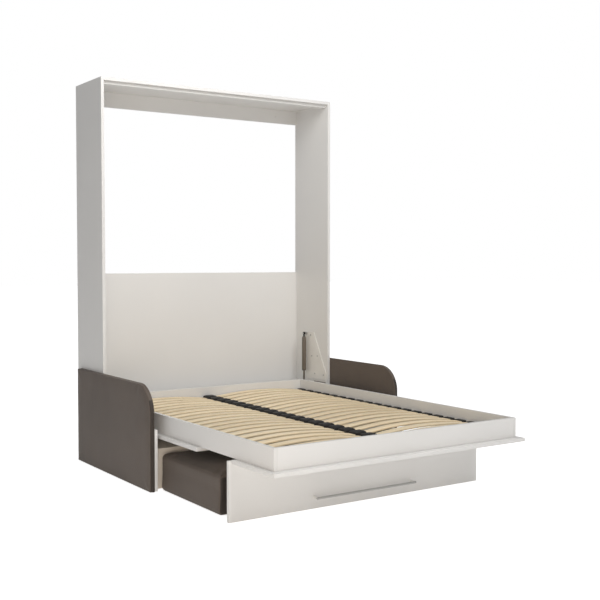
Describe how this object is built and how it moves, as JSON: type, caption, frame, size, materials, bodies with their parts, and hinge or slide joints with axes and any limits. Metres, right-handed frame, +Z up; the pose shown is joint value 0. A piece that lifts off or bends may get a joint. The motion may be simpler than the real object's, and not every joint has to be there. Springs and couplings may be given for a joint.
{
  "type": "wall bed",
  "caption": "Wall bed with a slatted frame swung down from a tall open cabinet, on a hanging support leg with a bar handle, over a low sofa base with padded arms and a loose seat cushion.",
  "frame": {"origin": "middle of the object's box, on the floor, with the bed swung down", "axes": "+X across the bed to the sleeper's left as they lie on their back, +Y towards the wall, +Z up"},
  "size_m": [1.62, 2.11, 2.2],
  "materials": {
    "white_board": "white melamine, satin",
    "cream_board": "light melamine, satin",
    "taupe_cover": "soft imitation leather, matt",
    "cushion_cover": "soft imitation leather over foam, matt",
    "birch": "bent birch plywood, clear satin lacquer",
    "black_rubber": "matt",
    "steel": "zinc plated",
    "plate_steel": "light grey powder coat",
    "dark_enamel": "dark brown-grey enamel",
    "handle_steel": "brushed",
    "grey_plastic": "matt"
  },
  "bodies": {
    "cabinet": {"cabinet_side_left": "white_board", "cabinet_side_right": "white_board", "top_panel": "white_board", "top_front_rail": "white_board", "header_board": "white_board", "back_panel": "white_board", "sofa_side_left": "white_board", "sofa_side_right": "white_board", "sofa_front_board": "cream_board", "sofa_rear_board": "cream_board", "seat_support": "cream_board", "seat_deck": "cream_board", "base_glides": "grey_plastic", "arm_left": "taupe_cover", "arm_right": "taupe_cover", "seat_cushion": "cushion_cover", "strut_plate_left": "plate_steel", "strut_plate_right": "plate_steel", "pivot_block_left": "dark_enamel", "pivot_block_right": "dark_enamel", "plate_screws": "steel", "strut_top_stud_left": "dark_enamel", "strut_top_stud_right": "dark_enamel"},
    "bed": {"bed_rail_left": "white_board", "bed_rail_right": "white_board", "head_rail": "white_board", "foot_rail": "white_board", "centre_rail": "birch", "slat_ledge_left": "birch", "slat_ledge_right": "birch", "frame_braces": "birch", "leg_crossbar": "birch", "head_face_panel": "white_board", "foot_face_panel": "white_board", "slats_left": "birch", "slats_right": "birch", "slat_holders_left": "black_rubber", "slat_holders_right": "black_rubber", "slat_holders_centre": "black_rubber", "pivot_pin_left": "steel", "pivot_pin_right": "steel", "strut_low_stud_left": "steel", "strut_low_stud_right": "steel", "leg_hinge_fixed": "steel"},
    "leg": {"leg_panel": "white_board", "leg_hinge_moving": "steel", "handle_bar": "handle_steel", "handle_posts": "handle_steel"},
    "tube_left": {"strut_tube_left": "dark_enamel"},
    "tube_right": {"strut_tube_right": "dark_enamel"},
    "rod_left": {"strut_rod_left": "steel"},
    "rod_right": {"strut_rod_right": "steel"}
  },
  "joints": [
    {"name": "bed_swing", "type": "hinge", "parent": "cabinet", "child": "bed", "pos_m": [0, 0.765, 0.356], "axis": [-1, 0, 0], "range_deg": [0, 90]},
    {"name": "leg_swing", "type": "hinge", "parent": "bed", "child": "leg", "pos_m": [0, -0.6765, 0.285], "axis": [1, 0, 0], "range_deg": [0, 90]},
    {"name": "strut_swing_left", "type": "hinge", "parent": "cabinet", "child": "tube_left", "pos_m": [-0.74, 0.91, 0.693], "axis": [-1, 0, 0], "range_deg": [0, 19.6]},
    {"name": "strut_swing_right", "type": "hinge", "parent": "cabinet", "child": "tube_right", "pos_m": [0.74, 0.91, 0.693], "axis": [-1, 0, 0], "range_deg": [0, 19.6]},
    {"name": "strut_slide_left", "type": "slide", "parent": "tube_left", "child": "rod_left", "axis": [0, 0, -1], "range_m": [0, 0.1485]},
    {"name": "strut_slide_right", "type": "slide", "parent": "tube_right", "child": "rod_right", "axis": [0, 0, -1], "range_m": [0, 0.1485]}
  ],
  "couplings": [
    {"joint": "leg_swing", "follows": "bed_swing", "ratio": 1},
    {"joint": "strut_swing_left", "follows": "bed_swing", "ratio": 0.21704},
    {"joint": "strut_swing_right", "follows": "bed_swing", "ratio": 0.21704},
    {"joint": "strut_slide_left", "follows": "bed_swing", "m_per_rad": 0.0945},
    {"joint": "strut_slide_right", "follows": "bed_swing", "m_per_rad": 0.0945}
  ]
}
